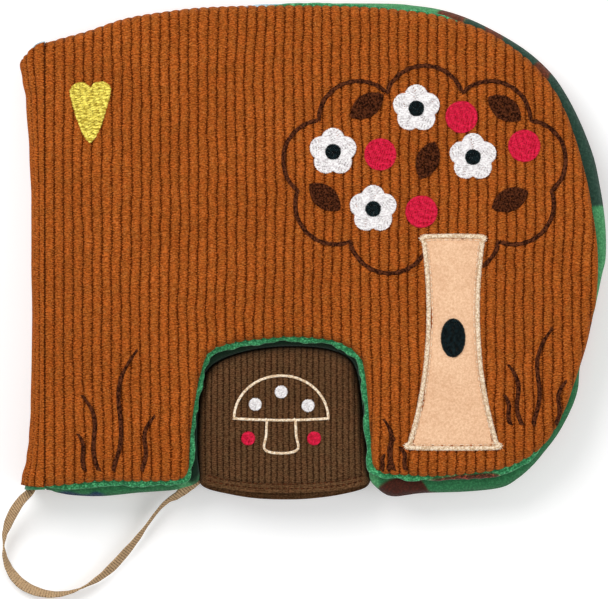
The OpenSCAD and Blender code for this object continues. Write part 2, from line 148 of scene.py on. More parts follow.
def clothGrid(columns, rows, outline, bend=flatAt, openSide=None, cuts=0):
    # a grid of cloth trimmed to an outline; columns are pairs of x and rib count
    bm = bmesh.new()
    across, along = len(columns) - 1, len(rows) - 1
    bmesh.ops.create_grid(bm, x_segments=across, y_segments=along, size=1)
    weave = bm.loops.layers.uv.new("weave")
    for v in bm.verts:
        i, j = round((v.co.x + 1) / 2 * across), round((v.co.y + 1) / 2 * along)
        markWeave(v, weave, (columns[i][1], rows[j]))
        v.co = bend(columns[i][0], rows[j])
    outside = [f for f in bm.faces
               if edgeDepth(outline, *f.calc_center_median().xy) < 0]
    bmesh.ops.delete(bm, geom=outside, context="FACES")
    rim = [v for v in bm.verts if v.is_boundary]
    # an open side keeps its straight edge, and only its corners meet the outline
    for v in rim:
        spot = outline["tree"].find(v.co)[0]
        if openSide is None or v.co.x > openSide + 0.01:
            v.co.xy = spot.xy
        elif len(v.link_faces) == 1:
            v.co.y = spot.y
    bmesh.ops.remove_doubles(bm, verts=rim, dist=0.04)
    bmesh.ops.dissolve_degenerate(bm, edges=bm.edges[:], dist=0.01)
    bmesh.ops.delete(bm, geom=[v for v in bm.verts if not v.link_faces], context="VERTS")
    if cuts:
        bmesh.ops.subdivide_edges(bm, edges=[e for e in bm.edges if e.is_boundary], cuts=cuts)
        for v in bm.verts:
            if v.is_boundary and v.co.x > openSide + 0.01:
                v.co.xy = outline["tree"].find(v.co)[0].xy
    return bm


def turnIn(bm, outline, steps, openSide, reach=None, pucker=0.0):
    # the open edge goes on, a step at a time: (share of the reach outwards, height)
    edges = [e for e in bm.edges if e.is_boundary]
    before = 0.0
    for share, height in steps:
        grown = bmesh.ops.extrude_edge_only(bm, edges=edges)["geom"]
        fresh = {g for g in grown if isinstance(g, bmesh.types.BMVert)}
        edges = [g for g in grown if isinstance(g, bmesh.types.BMEdge)
                 and g.verts[0] in fresh and g.verts[1] in fresh]
        for v in fresh:
            if v.co.x <= openSide + 0.01:
                v.co.z = height
                continue
            out = outline["out"][outline["tree"].find((v.co.x, v.co.y, 0))[1]]
            go = (share - before) * (reach(v.co.x, v.co.y) if reach else 1)
            crease = pucker * wobble(v.co.x, v.co.y, 1.9, height)
            v.co = (v.co.x + out.x * go, v.co.y + out.y * go, height + crease)
        before = share
    return edges


def finishPiece(bm, name, material):
    bmesh.ops.recalc_face_normals(bm, faces=bm.faces[:])
    bmesh.ops.scale(bm, verts=bm.verts[:], vec=(mm, mm, mm))
    mesh = bpy.data.meshes.new(name)
    bm.to_mesh(mesh)
    bm.free()
    return showMesh(mesh, name, material)


def showMesh(mesh, name, material):
    mesh.materials.append(material)
    mesh.shade_smooth()
    piece = bpy.data.objects.new(name, mesh)
    scene.collection.objects.link(piece)
    return piece


def assign(piece, body, slot, *nodes):
    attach(piece, body)
    if nodes:
        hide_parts(*nodes)


# Materials

def paint(r, g, b):
    def linear(c):
        c = c / 255
        return c / 12.92 if c <= 0.04045 else ((c + 0.055) / 1.055) ** 2.4
    return (linear(r), linear(g), linear(b), 1)


def addNode(tree, kind, inputs=None, **settings):
    made = tree.nodes.new(kind)
    for key, value in settings.items():
        setattr(made, key, value)
    for key, value in (inputs or {}).items():
        if isinstance(value, bpy.types.NodeSocket):
            tree.links.new(value, made.inputs[key])
        else:
            made.inputs[key].default_value = value
    return made


def treeOf(*values):
    return next(v.id_data for v in values if isinstance(v, bpy.types.NodeSocket))


def sums(how, a, b=0.0, c=0.0):
    return addNode(treeOf(a, b), "ShaderNodeMath", {0: a, 1: b, 2: c}, operation=how).outputs[0]


def blendColours(share, a, b, how="MIX"):
    return addNode(treeOf(share, a, b), "ShaderNodeMix", {0: share, 6: a, 7: b},
                   data_type="RGBA", blend_type=how).outputs[2]


def tinted(colour, tint):
    return blendColours(1.0, colour, tint, "MULTIPLY")


def stretch(value, low, high, toLow=0.0, toHigh=1.0):
    return addNode(value.id_data, "ShaderNodeMapRange",
                   {0: value, 1: low, 2: high, 3: toLow, 4: toHigh},
                   interpolation_type="SMOOTHSTEP").outputs[0]


def grain(where, scale, detail=2.0, rough=0.5):
    return addNode(where.id_data, "ShaderNodeTexNoise",
                   {"Vector": where, "Scale": scale, "Detail": detail, "Roughness": rough}).outputs[0]


def newCloth(name, roughness, shine, sheen=0.0, sheenTint=(1, 1, 1, 1)):
    cloth = bpy.data.materials.new(name)
    cloth.use_nodes = True
    tree = cloth.node_tree
    shader = tree.nodes["Principled BSDF"]
    shader.inputs["Roughness"].default_value = roughness
    shader.inputs["Specular IOR Level"].default_value = shine
    shader.inputs["Sheen Weight"].default_value = sheen
    shader.inputs["Sheen Roughness"].default_value = 0.45
    shader.inputs["Sheen Tint"].default_value = sheenTint
    where = addNode(tree, "ShaderNodeTexCoord").outputs["Object"]
    return cloth, tree, shader, where


def finishCloth(shader, colour, height, depth, strength=0.8):
    tree = shader.id_data
    tree.links.new(colour, shader.inputs["Base Color"])
    bump = addNode(tree, "ShaderNodeBump", {"Height": height, "Distance": depth, "Strength": strength})
    tree.links.new(bump.outputs[0], shader.inputs["Normal"])


def corduroyCloth(name, look):
    # pile in short tufts along each rib; down the groove it is darker, partly where the pile parts and
    # partly painted shade in the recess
    cloth, tree, shader, where = newCloth(name, 0.95, 0.04, look["sheen"], look["sheenTint"])
    uv = addNode(tree, "ShaderNodeUVMap", uv_map="weave").outputs[0]
    cut = addNode(tree, "ShaderNodeSeparateXYZ", {0: uv})
    rib = sums("FRACT", cut.outputs[0])
    side = sums("ABSOLUTE", sums("SUBTRACT", rib, 0.5))
    # each rib starts its tufts at another place
    own = sums("FRACT", sums("MULTIPLY", sums("FLOOR", cut.outputs[0]), 0.618))
    drift = grain(where, 300, 2.0)
    tufts = sums("ADD", sums("DIVIDE", cut.outputs[1], look["tuft"]), own)
    tufts = sums("ADD", tufts, sums("MULTIPLY", side, look["slant"]))
    tufts = sums("ADD", tufts, sums("MULTIPLY", drift, 2.2))
    tufts = stretch(sums("SINE", sums("MULTIPLY", tufts, math.tau)), -0.9, 0.9)
    wide = addNode(tree, "ShaderNodeMapping", {"Vector": where, "Scale": (0.55, 1, 0.8)}).outputs[0]
    fuzz = grain(wide, look["fuzz"], 2.0, 0.6)
    nap = stretch(fuzz, 0.38, 0.62)
    pile = sums("ADD", sums("MULTIPLY", tufts, 0.3), sums("MULTIPLY", nap, 0.7))
    colour = blendColours(pile, look["deep"], look["crest"])
    specks = stretch(grain(where, look["fuzz"] * 0.8, 2.0, 0.7), 0.56, 0.68)
    colour = blendColours(sums("MULTIPLY", specks, look["specks"]), colour, look["speck"])
    hue = stretch(grain(where, 260, 3.0, 0.65), 0.36, 0.64)
    colour = blendColours(hue, tinted(colour, look["cool"]), colour)
    frayed = sums("ADD", side, sums("MULTIPLY", sums("SUBTRACT", 0.55, pile), 0.16))
    # painted shade: the colour darkens towards the middle of each groove, on top of the shade the rib
    # geometry already gives; the rest is the parted pile
    grooveGroundAndShade = stretch(frayed, look["grooveFrom"], 0.49)
    colour = blendColours(sums("MULTIPLY", grooveGroundAndShade, look["grooveShare"]), colour, look["grooveGroundAndShade"])
    shade = stretch(grain(where, 38, 3.0, 0.6), 0.3, 0.7)
    colour = blendColours(shade, tinted(colour, look["dim"]), colour)
    finishCloth(shader, colour, pile, look["bump"] * mm, 1.0)
    return cloth


def plainCloth(name, look):
    # a soft napped fabric in one mottled colour
    cloth, tree, shader, where = newCloth(name, 0.9, 0.15, look["sheen"])
    fibres = grain(where, look["fibre"], 4.0, 0.7)
    cloud = grain(where, look["cloud"], 3.0, 0.6)
    colour = blendColours(stretch(fibres, 0.3, 0.7), look["low"], look["high"])
    colour = blendColours(stretch(cloud, 0.35, 0.65), tinted(colour, look["dim"]), colour)
    finishCloth(shader, colour, fibres, look["bump"] * mm)
    return cloth


def threadCloth(name, low, high, rough, shine, metal, streak):
    # twisted thread with a fine streak along the stitch
    cloth, tree, shader, where = newCloth(name, rough, shine)
    shader.inputs["Metallic"].default_value = metal
    along = addNode(tree, "ShaderNodeMapping", {"Vector": where, "Scale": streak}).outputs[0]
    strand = grain(along, 1500, 2.0, 0.6)
    colour = blendColours(stretch(strand, 0.4, 0.6), low, high)
    finishCloth(shader, colour, strand, 0.1 * mm, 0.8)
    return cloth


def printedCloth(name, base, fields, mottle):
    # woven cotton with soft-edged printed fields of colour: (x, y, half width, half height, colour)
    cloth, tree, shader, where = newCloth(name, 0.88, 0.15, 0.25)
    cut = addNode(tree, "ShaderNodeSeparateXYZ", {0: where})
    sway = grain(where, 60, 2.0)
    sway = sums("SUBTRACT", sway, 0.5)
    x = sums("ADD", cut.outputs[0], sums("MULTIPLY", sway, 0.012))
    y = sums("ADD", cut.outputs[1], sums("MULTIPLY", sway, 0.009))
    colour = addNode(tree, "ShaderNodeRGB").outputs[0]
    colour.default_value = base
    for cx, cy, halfX, halfY, tint in fields:
        a = sums("DIVIDE", sums("SUBTRACT", x, cx * mm), halfX * mm)
        b = sums("DIVIDE", sums("SUBTRACT", y, cy * mm), halfY * mm)
        away = sums("ADD", sums("MULTIPLY", a, a), sums("MULTIPLY", b, b))
        soft = 1.2 / max(min(halfX, halfY), 3)
        colour = blendColours(stretch(away, 1 - soft, 1 + soft, 1, 0), colour, tint)
    fibres = grain(where, 1400, 3.0, 0.7)
    foldShadeNoise = grain(where, 430, 4.0, 0.7)
    threads = addNode(tree, "ShaderNodeTexWave", {"Vector": where, "Scale": 420.0, "Distortion": 1.5},
                      bands_direction="DIAGONAL").outputs[1]
    weave = sums("ADD", fibres, sums("MULTIPLY", threads, 0.25))
    dark = tinted(colour, mottle["dark"])
    colour = blendColours(stretch(fibres, 0.36, 0.62), dark, colour)
    # painted shade: patches of this noise are darkened the way shade falls in folds and puckers
    foldShaded = blendColours(mottle["fold"], colour, dark)
    colour = blendColours(stretch(foldShadeNoise, 0.34, 0.58), foldShaded, colour)
    # lighter fibre tips, partly a painted highlight: the colour is multiplied up towards white in streaks
    pale = sums("MULTIPLY", stretch(fibres, 0.52, 0.64), mottle["pale"])
    colour = blendColours(pale, colour, mottle["tipAndHighlight"], "MULTIPLY")
    finishCloth(shader, colour, weave, mottle["bump"] * mm)
    return cloth


brownCord = corduroyCloth("brown_corduroy", {
    "crest": paint(204, 106, 40), "deep": paint(132, 60, 14), "grooveGroundAndShade": paint(84, 30, 0),
    "grooveShare": 0.9, "grooveFrom": 0.33, "speck": paint(228, 146, 80), "specks": 0.4,
    "cool": (0.88, 0.98, 0.98, 1), "dim": (0.88, 0.86, 0.82, 1), "sheen": 0.1,
    "sheenTint": (1, 0.5, 0.2, 1), "fuzz": 2000.0, "tuft": 0.85, "slant": 1.3, "bump": 0.25})
darkCord = corduroyCloth("dark_fine_corduroy", {
    "crest": paint(118, 82, 54), "deep": paint(70, 43, 23), "grooveGroundAndShade": paint(38, 17, 5),
    "grooveShare": 0.88, "grooveFrom": 0.3, "speck": paint(150, 114, 82), "specks": 0.3,
    "cool": (0.9, 1.0, 1.0, 1), "dim": (0.88, 0.86, 0.84, 1), "sheen": 0.05,
    "sheenTint": (1, 0.8, 0.6, 1), "fuzz": 2200.0, "tuft": 0.7, "slant": 1.0, "bump": 0.2})
leafGreen, deepGreen = paint(84, 160, 104), paint(46, 76, 62)
skyBlue, barkBrown, nightBlue = paint(190, 220, 230), paint(110, 58, 38), paint(30, 56, 86)
footBrown, hillGreen, footGreen = paint(70, 30, 18), paint(52, 124, 82), paint(48, 116, 72)
# painted shade: a near-black green for the leaves round the puppet's arch, where the gap lies in shadow
archShadeGreen = paint(16, 42, 26)
# the lining's mottle is the strongest: deep painted shade in its folds and painted highlights that go
# near white on its rolled rim
liningPrint = printedCloth("green_lining_print", paint(66, 164, 104), [
    (-78, -88, 20, 2.6, nightBlue), (55, -81, 14.5, 2.6, barkBrown), (-62, 86, 46, 9, skyBlue),
    (-20, 30, 55, 26, hillGreen), (40, 20, 34, 30, deepGreen), (-60, 66, 22, 10, skyBlue),
    (20, -12, 30, 8, barkBrown), (70, 66, 14, 9, deepGreen)],
    {"dark": (0.26, 0.36, 0.34, 1), "fold": 0.7, "pale": 1.0, "tipAndHighlight": (2.6, 1.7, 2.0, 1), "bump": 0.3})
leafPrint = printedCloth("woodland_leaf_print", leafGreen, [
    (-12, 26, 74, 46, skyBlue), (-48, 84, 44, 11, skyBlue), (-98, 72, 16, 10, skyBlue),
    (-50, -34, 46, 22, hillGreen), (54, -30, 40, 24, hillGreen), (-60, 10, 15, 22, deepGreen),
    (-60, -16, 2.4, 14, barkBrown), (40, 20, 19, 28, deepGreen), (40, -12, 3, 16, barkBrown),
    (86, 47, 38, 34, deepGreen), (67, 76, 15, 12, deepGreen), (49.5, 83, 4.5, 5, barkBrown),
    (64, 77, 3.2, 4, barkBrown), (81, 63, 3.6, 4, barkBrown), (66, -74, 44, 44, footGreen),
    (-72, -88, 28, 9, footGreen), (32, -86, 10.5, 6, footBrown), (-84, -88.0, 14, 3.3, nightBlue),
    # the near-black green fields from here on are painted shade in the gap round the puppet's arch
    (-57, -87.4, 8, 2.9, nightBlue), (-12, -43, 40, 15, archShadeGreen), (-42, -58, 6, 24, archShadeGreen),
    (19, -52, 3, 24, archShadeGreen)],
    {"dark": (0.56, 0.62, 0.62, 1), "fold": 0.45, "pale": 0.8, "tipAndHighlight": (1.5, 1.25, 1.3, 1),
     "bump": 0.15})
facingPrint = printedCloth("spine_facing_print", paint(62, 150, 98), [(-98, 66, 14, 20, skyBlue)],
    {"dark": (0.45, 0.52, 0.52, 1), "fold": 0.5, "pale": 0.8, "tipAndHighlight": (1.6, 1.3, 1.4, 1), "bump": 0.15})
velour = plainCloth("beige_velour", {
    "low": paint(218, 170, 132), "high": paint(243, 203, 166), "dim": (0.93, 0.9, 0.88, 1),
    "fibre": 1500.0, "cloud": 70.0, "sheen": 0.35, "bump": 0.1})
spineLiningCloth = plainCloth("spine_green_lining", {
    "low": paint(42, 108, 70), "high": paint(80, 152, 102), "dim": (0.75, 0.78, 0.78, 1),
    "fibre": 1500.0, "cloud": 90.0, "sheen": 0.25, "bump": 0.12})
# the ribbon's groove colour is painted shade: dark lines between ribs that are only a tenth of a
# millimetre deep
grosgrain = corduroyCloth("beige_grosgrain", {
    "crest": paint(214, 182, 142), "deep": paint(184, 150, 112), "grooveGroundAndShade": paint(92, 72, 50),
    "grooveShare": 0.8, "grooveFrom": 0.2, "speck": paint(230, 204, 168), "specks": 0.2,
    "cool": (0.94, 0.96, 1.0, 1), "dim": (0.92, 0.9, 0.88, 1), "sheen": 0.0,
    "sheenTint": (1, 1, 1, 1), "fuzz": 2400.0, "tuft": 0.5, "slant": 0.0, "bump": 0.08})
# low and high colour, roughness, shine, metal and the streak's scale
threadLook = {
    "brown_satin": (paint(34, 12, 4), paint(96, 50, 28), 0.8, 0.04, 0.0, (1, 1, 1)),
    "cream_satin": (paint(214, 182, 144), paint(254, 238, 214), 0.5, 0.2, 0.0, (1, 1, 1)),
    "white_satin": (paint(224, 218, 219), paint(252, 250, 249), 0.5, 0.2, 0.0, (0.8, 1.6, 1)),
    "black_satin": (paint(2, 6, 7), paint(17, 33, 36), 0.7, 0.08, 0.0, (0.6, 1, 1)),
    "red_satin": (paint(194, 10, 48), paint(230, 26, 74), 0.5, 0.2, 0.0, (0.8, 1.6, 1)),
    "gold_lurex": (paint(180, 154, 26), paint(255, 242, 112), 0.36, 0.5, 0.3, (0.28, 1.8, 1))}
threads = {name.split("_")[0]: threadCloth(name + "_thread", *look)
           for name, look in threadLook.items()}
print("materials ready:", len(bpy.data.materials))


# Ribbon loop, on the route that the solid has
ribbonLoop = {
    "wide": 4.4, "thick": 0.55, "ribPitch": 0.95, "ribDepth": 0.1, "stepsPerRib": 5, "across": 8,
    "selvedge": 0.42}
ribbonStart = Vector((-98.55, -80.85, 0))
# x and y from the start, height over the floor, and the band's turn in degrees, 90 on edge
ribbonRoute = [
    (0, 0, 12, 124), (0, -2, 12, 123), (-1.2, -4.2, 11.6, 123), (-4, -7, 10.6, 129),
    (-6.6, -10.8, 9, 135), (-8.6, -14.8, 7.2, 129), (-10, -18.8, 5.6, 109), (-10.4, -22.8, 4.4, 92),
    (-10, -26.8, 3.6, 76), (-8.6, -30.8, 3, 62), (-6.4, -34.2, 2.6, 48), (-3.6, -36.8, 2.4, 45),
    (0.2, -38.8, 2.4, 51), (4.8, -40, 2.6, 62), (9, -40.1, 2.8, 71), (13.3, -39.3, 3, 81),
    (18, -37.5, 3.1, 94), (23.4, -34.3, 3.2, 113), (28, -30.4, 3.2, 126), (32.2, -25.8, 3.4, 123),
    (36.3, -20.9, 3.8, 111), (40.2, -15.6, 4.4, 98), (43.8, -10.8, 5.4, 98), (47.2, -7.4, 6.6, 104),
    (50.6, -5.4, 7.4, 118), (53.6, -3, 7.8, 134), (56.1, -0.9, 8.0, 142), (58.3, 1, 8.2, 142)]


def buildRibbon(look):
    step = look["ribPitch"] / look["stepsPerRib"]
    path = smoothLine([(x, y, z) for x, y, z, turn in ribbonRoute], step, False)
    lengths = [0.0]
    for a, b in zip(ribbonRoute, ribbonRoute[1:]):
        lengths.append(lengths[-1] + (Vector(b[:3]) - Vector(a[:3])).length)
    path = [ribbonStart + p for p in path]
    last = len(path) - 1
    bm = bmesh.new()
    bmesh.ops.create_grid(bm, x_segments=last, y_segments=look["across"], size=1)
    weave = bm.loops.layers.uv.new("weave")
    for v in bm.verts:
        i, share = round((v.co.x + 1) / 2 * last), v.co.y / 2
        ahead = (path[min(i + 1, last)] - path[max(i - 1, 0)]).normalized()
        side = ahead.cross(Vector((0, 0, 1))).normalized()
        up = side.cross(ahead)
        run = i / last * lengths[-1]
        k = max(j for j, at in enumerate(lengths[:-1]) if at <= run + 1e-6)
        part = smoothStep(lengths[k], lengths[k + 1], run)
        turn = math.radians(mix(ribbonRoute[k][3], ribbonRoute[k + 1][3], part))
        wide = side * math.cos(turn) + up * math.sin(turn)
        flat = wide.cross(ahead)
        rib = abs(math.sin(math.pi * i / look["stepsPerRib"])) * look["ribDepth"]
        markWeave(v, weave, (i / look["stepsPerRib"], share * look["wide"]))
        rib *= 1 - smoothStep(look["selvedge"], 0.5, abs(share))
        v.co = path[i] + wide * look["wide"] * share + flat * (rib - look["thick"] / 2)
    bm.normal_update()
    bmesh.ops.solidify(bm, geom=bm.faces[:], thickness=look["thick"])
    piece = finishPiece(bm, "ribbon_loop", grosgrain)
    assign(piece, "book", "grosgrain", "ribbon")
    points = path[::look["stepsPerRib"]] + [path[-1]]
    long = sum((b - a).length for a, b in zip(points, points[1:]))


buildRibbon(ribbonLoop)
print("ribbon made")


# Covers: a ribbed corduroy face over a pad, and a green printed lining that shows as a rim
cover = {
    "pitch": 3.36, "columnsPerRib": 7, "ribDepth": 1.05, "roll": 4.6, "seam": 22.7,
    "inside": 20.8, "rim": 1.65, "tucked": 0.35, "waves": 0.6, "sway": 0.9, "scallop": 0.4,
    "hem": 2.5, "liningIn": 0.9, "stitchIn": 3.2, "full": 2.3, "fold": 0.7,
    "rows": (-84.5, 88, 0.75, 1.35, [(-84, -74), (-40, -27), (58, 88)])}
coverPlan = [
    (-93.95, 72.9), (-89.6, 74.0), (-79.45, 76.8), (-69.3, 80.3), (-62.6, 82.0), (-52.5, 83.6),
    (-39.5, 85.1), (-18.5, 85.9), (-4.5, 86.0), (13, 85.7), (23.5, 85.1), (38.9, 83.5), (48, 81.4),
    (56, 78.9), (61.3, 76.7), (67.2, 73.2), (73.8, 68.4), (78.5, 64), (83.6, 57.8), (87.2, 51.6),
    (90.6, 43.5), (93.2, 35.3), (95.5, 26.8), (97.3, 18), (99, 7.2), (99.8, -1.2), (99.8, -9.6),
    (99.2, -17.6), (98, -23), (96.5, -30), (94.8, -36.2), (93.2, -41.5), (91.3, -47.5),
    (88.9, -54.2), (85.8, -61), (82.4, -66.4), (78, -70.8), (72.8, -74), (67.4, -76.2), (59, -77.9),
    (43.7, -79.2), (33.5, -78.9), (25, -78.2), (21.4, -75.8), (20.4, -71), (19.9, -64), (19.4, -55),
    (18.6, -46.4), (17.4, -39.8), (14.4, -35.4), (8, -32), (0, -30.8), (-7.4, -30.4),
    (-14.7, -30.8), (-24.5, -31.9), (-33.2, -34), (-37.6, -37.6), (-39.8, -45.3), (-41.6, -54),
    (-42.7, -62.8), (-43.1, -70), (-43.4, -75.5), (-44.9, -79.2), (-48.5, -80.7), (-60, -81),
    (-73.5, -80.9), (-85.4, -82.1), (-93.95, -82.7)]
leafPlan = [
    (-93.6, 72.0), (-79.5, 76.4), (-62.6, 81.7), (-39.5, 84.7), (-24, 85.6), (-16, 86.6),
    (23.5, 86.8), (36, 86), (46.2, 84.3), (56, 80.9), (67.2, 75.2), (76.3, 69.2), (84, 61.9),
    (89.3, 54.1), (93.8, 45.3), (97.2, 36.9), (99.2, 30.6), (100.8, 22.6), (101.9, 16),
    (102.8, 7.2), (102.8, -2.6), (101.5, -8.5), (99.6, -17.5), (97.2, -27), (94.6, -36.5),
    (93.6, -42), (93, -48.8), (90.6, -55.8), (86.1, -64.2), (81.2, -70.7), (77, -75.6),
    (71.8, -80.1), (66, -83.2), (54, -84.6), (38.9, -85.1), (32.6, -85.9), (28.6, -86.3),
    (24.8, -85.2)]
leafFoot = [
    (-46, -83.4), (-50, -84.2), (-61.3, -85), (-74, -86.2), (-84, -85.9), (-90, -84.9),
    (-93.6, -84.0)]
puppetArch = [
    (-40.1, -80.5), (-40.6, -72), (-40.7, -63), (-40.3, -54), (-39.2, -46.4), (-36.6, -41.2),
    (-31.6, -37.8), (-24.5, -35.4), (-17, -34), (-7.5, -33.4), (2.5, -34), (9.8, -35.9),
    (14, -39.1), (16, -44.5), (17.1, -52), (18.1, -61), (19, -69), (19.7, -76), (20.2, -80.5)]


def pastHinge(plan):
    # carries the two hinge corners on to the left, so that only the other sides are rounded
    (x0, y0), (x1, y1) = plan[0], plan[-1]
    return [(x0 - 30, y0), (x0 - 12, y0)] + plan + [(x1 - 12, y1), (x1 - 30, y1)]


def ribShape(u, depth):
    return depth * (abs(math.sin(math.pi * u)) ** 0.7 - 1)


def coverLevel(plan, x, y, seed=0.0):
    # height of the padded face without its ribs
    depth = edgeDepth(plan, x, y)
    t = min(max(depth / cover["roll"], 0), 1)
    rise = (1 - (1 - t) ** cover["full"]) ** (1 / cover["full"])
    soft = cover["waves"] * (wobble(x, y, 30, seed + 3) + 0.4 * wobble(x, y, 12, seed + 8) - 0.75)
    soft *= smoothStep(0, 18, x - hingeX) * 0.9
    soft -= cover["fold"] * math.exp(-((x - hingeX) / 3.0) ** 2)
    return mix(cover["seam"], bookTop, rise) + soft * rise, depth


def unevenRows(low, high, fine, coarse, zones):
    # rows that lie close together in the zones where the edge runs across them
    rows, y = [low], low
    while y < high:
        y += fine if any(a <= y <= b for a, b in zones) else coarse
        rows.append(y)
    return rows


def buildCover(side, seed, shift):
    front = side == "front"
    # the hinge side stays square: the outline runs on past it, and the cloth stops there
    sheet = planOutline(pastHinge(coverPlan), shift=shift)
    ribs = math.ceil((101 + shift - hingeX) / cover["pitch"])
    count = cover["columnsPerRib"]
    columns = [(hingeX + i * cover["pitch"] / count, i / count) for i in range(ribs * count + 1)]

    def bend(x, y):
        sway = cover["sway"] * (wobble(x, y, 46, seed + 11) + 0.5 * wobble(x, y, 14, seed + 17)
                                + 0.4 * wobble(x, y, 5.5, seed + 19))
        return Vector((x + sway * smoothStep(0, 14, x - hingeX), y, 0))

    bm = clothGrid(columns, unevenRows(*cover["rows"]), sheet, bend, openSide=hingeX)
    weave = bm.loops.layers.uv["weave"]
    for v in bm.verts:
        height, depth = coverLevel(sheet, v.co.x, v.co.y, seed)
        u = v.link_loops[0][weave].uv.x
        ribDepth = cover["ribDepth"] * mix(0.7, 1, smoothStep(0, cover["hem"], depth))
        ribDepth *= mix(0.3, 1, smoothStep(0.2, 3, v.co.x - hingeX))
        v.co.z = height + ribShape(u, ribDepth)
        if depth < cover["hem"] and v.co.x > hingeX + 0.01:
            # between two ribs the edge is pulled in, so each rib ends in a round tip
            out = sheet["out"][sheet["tree"].find((v.co.x, v.co.y, 0))[1]]
            pull = cover["scallop"] * abs(out.y) * (1 - abs(math.sin(math.pi * u)) ** 0.8)
            v.co.xy -= out.xy * pull * (1 - smoothStep(0, cover["hem"], max(depth, 0)))
    rim = turnIn(bm, sheet, [(-0.05, cover["seam"] - 0.7), (-1.2, cover["seam"] - 1.0)], hingeX)
    bmesh.ops.edgeloop_fill(bm, edges=rim)
    if not front:
        flipOver(bm)
    face = finishPiece(bm, side + "_cover_corduroy", brownCord)

    # the lining ends in a soft roll that comes up outside the corduroy's edge
    lined = planOutline(pastHinge(coverPlan), shift=shift - cover["liningIn"])
    bm = clothGrid([(x, x / 3) for x in evenRow(hingeX, 102, 120)], evenRow(-84, 88, 106), lined,
                   openSide=hingeX, cuts=2)
    for v in bm.verts:
        depth = edgeDepth(lined, v.co.x, v.co.y)
        v.co.z = cover["inside"] + 0.25 + 0.22 * wobble(v.co.x, v.co.y, 16, seed + 5)
        v.co.z += 0.5 * math.exp(-((depth - cover["stitchIn"]) / 0.8) ** 2)
    low, seam = cover["inside"], cover["seam"]
    rim = turnIn(bm, lined, [
        (0.35, low + 0.05), (0.86, low + 0.35), (1, low + 0.9), (0.94, seam - 0.5), (0.7, seam - 0.1),
        (0.4, seam - 0.05), (0.1, seam - 0.3)], hingeX, rimReach, 0.22)
    bmesh.ops.edgeloop_fill(bm, edges=rim)
    if not front:
        flipOver(bm)
    lining = finishPiece(bm, side + "_cover_lining", liningPrint)
    assign(face, side + "_cover", "corduroy", side + "_corduroy", side + "_padding")
    assign(lining, side + "_cover", "green_lining", side + "_lining")
    return sheet


def rimReach(x, y):
    # how far the lining's edge stands out: most under the legs and round the arch, tucked in elsewhere
    foot = 1 - smoothStep(-74, -66, y)
    arch = (1 - smoothStep(34, 38, abs(x + 11.5))) * (1 - smoothStep(-30, -24, y))
    top = 0.5 * smoothStep(70, 80, y) * smoothStep(-30, 0, x) * (1 - smoothStep(44, 56, x))
    shown = max(foot, arch, top) * smoothStep(-3, 7, x - hingeX)
    uneven = 1 + 0.5 * wobble(x, y, 8, 77) + 0.3 * wobble(x, y, 3.1, 78)
    return cover["tucked"] + shown * (cover["rim"] + 0.55) * uneven


def flipOver(bm):
    # the back cover is the front one turned face down
    bmesh.ops.scale(bm, verts=bm.verts[:], vec=(1, 1, -1))
    bmesh.ops.translate(bm, verts=bm.verts[:], vec=(0, 0, bookTop))


frontLevel = buildCover("front", 0.0, 0.0)
buildCover("back", 40.0, 0.6)
print("covers made")


# Leaves: three padded pages of printed cotton, each pinched and stitched along its edge
leaves = {
    "middle": [9.5, 13.9, 18.3], "half": 2.1, "pinch": 0.35, "soft": 6.5, "size": [0.997, 1.0, 0.995],
    "gap": [0.2, -0.25, 0.0], "hingeX": -93.6, "stitchIn": 2.8, "stitchDeep": 0.45}


def besideArch(gap):
    # the puppet's outline, from its right foot over to its left one, a gap away
    line = list(reversed(puppetArch))
    moved = []
    for (x0, y0), (x, y), (x1, y1) in zip([line[0]] + line, line, line[1:] + [line[-1]]):
        out = Vector((y1 - y0, x0 - x1)).normalized() * gap
        moved.append((x + out.x, y + out.y))
    return moved


def buildLeaf(number):
    middle, seed = leaves["middle"][number], 7.0 * number
    size, inner = leaves["size"][number], leaves["hingeX"]
    outer, foot = ([(max(x * size, inner), y * size) for x, y in line] for line in (leafPlan, leafFoot))
    plan = planOutline(pastHinge(outer + besideArch(leaves["gap"][number]) + foot))
    bm = clothGrid([(x, x / 3) for x in evenRow(inner, 104, 132)], evenRow(-88, 89, 118), plan,
                   openSide=inner)
    for v in bm.verts:
        depth = 0 if v.is_boundary and v.co.x > inner + 0.1 else edgeDepth(plan, v.co.x, v.co.y)
        t = min(max(depth / leaves["soft"], 0), 1)
        thick = mix(leaves["pinch"], leaves["half"], math.sqrt(1 - (1 - t) ** 2))
        thick -= leaves["stitchDeep"] * math.exp(-((depth - leaves["stitchIn"]) / 0.6) ** 2)
        thick -= 0.12 * (1 + wobble(v.co.x, v.co.y, 14, seed)) * t
        v.co.z = thick
    under = bmesh.ops.duplicate(bm, geom=bm.verts[:] + bm.edges[:] + bm.faces[:])["geom"]
    bmesh.ops.scale(bm, verts=[g for g in under if isinstance(g, bmesh.types.BMVert)], vec=(1, 1, -1))
    edges = [e for e in bm.edges if e.is_boundary]
    bmesh.ops.bridge_loops(bm, edges=edges)
    for v in bm.verts:
        free = smoothStep(0, 30, v.co.x - hingeX)
        v.co.z += middle + 0.25 * wobble(v.co.x, v.co.y, 34, seed + 2) * free
    leaf = finishPiece(bm, f"leaf_{number + 1}", leafPrint)
    assign(leaf, "book", "printed_leaves")
    return leaf


pages = [buildLeaf(k) for k in range(3)]
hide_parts("pages")
print("leaves made")


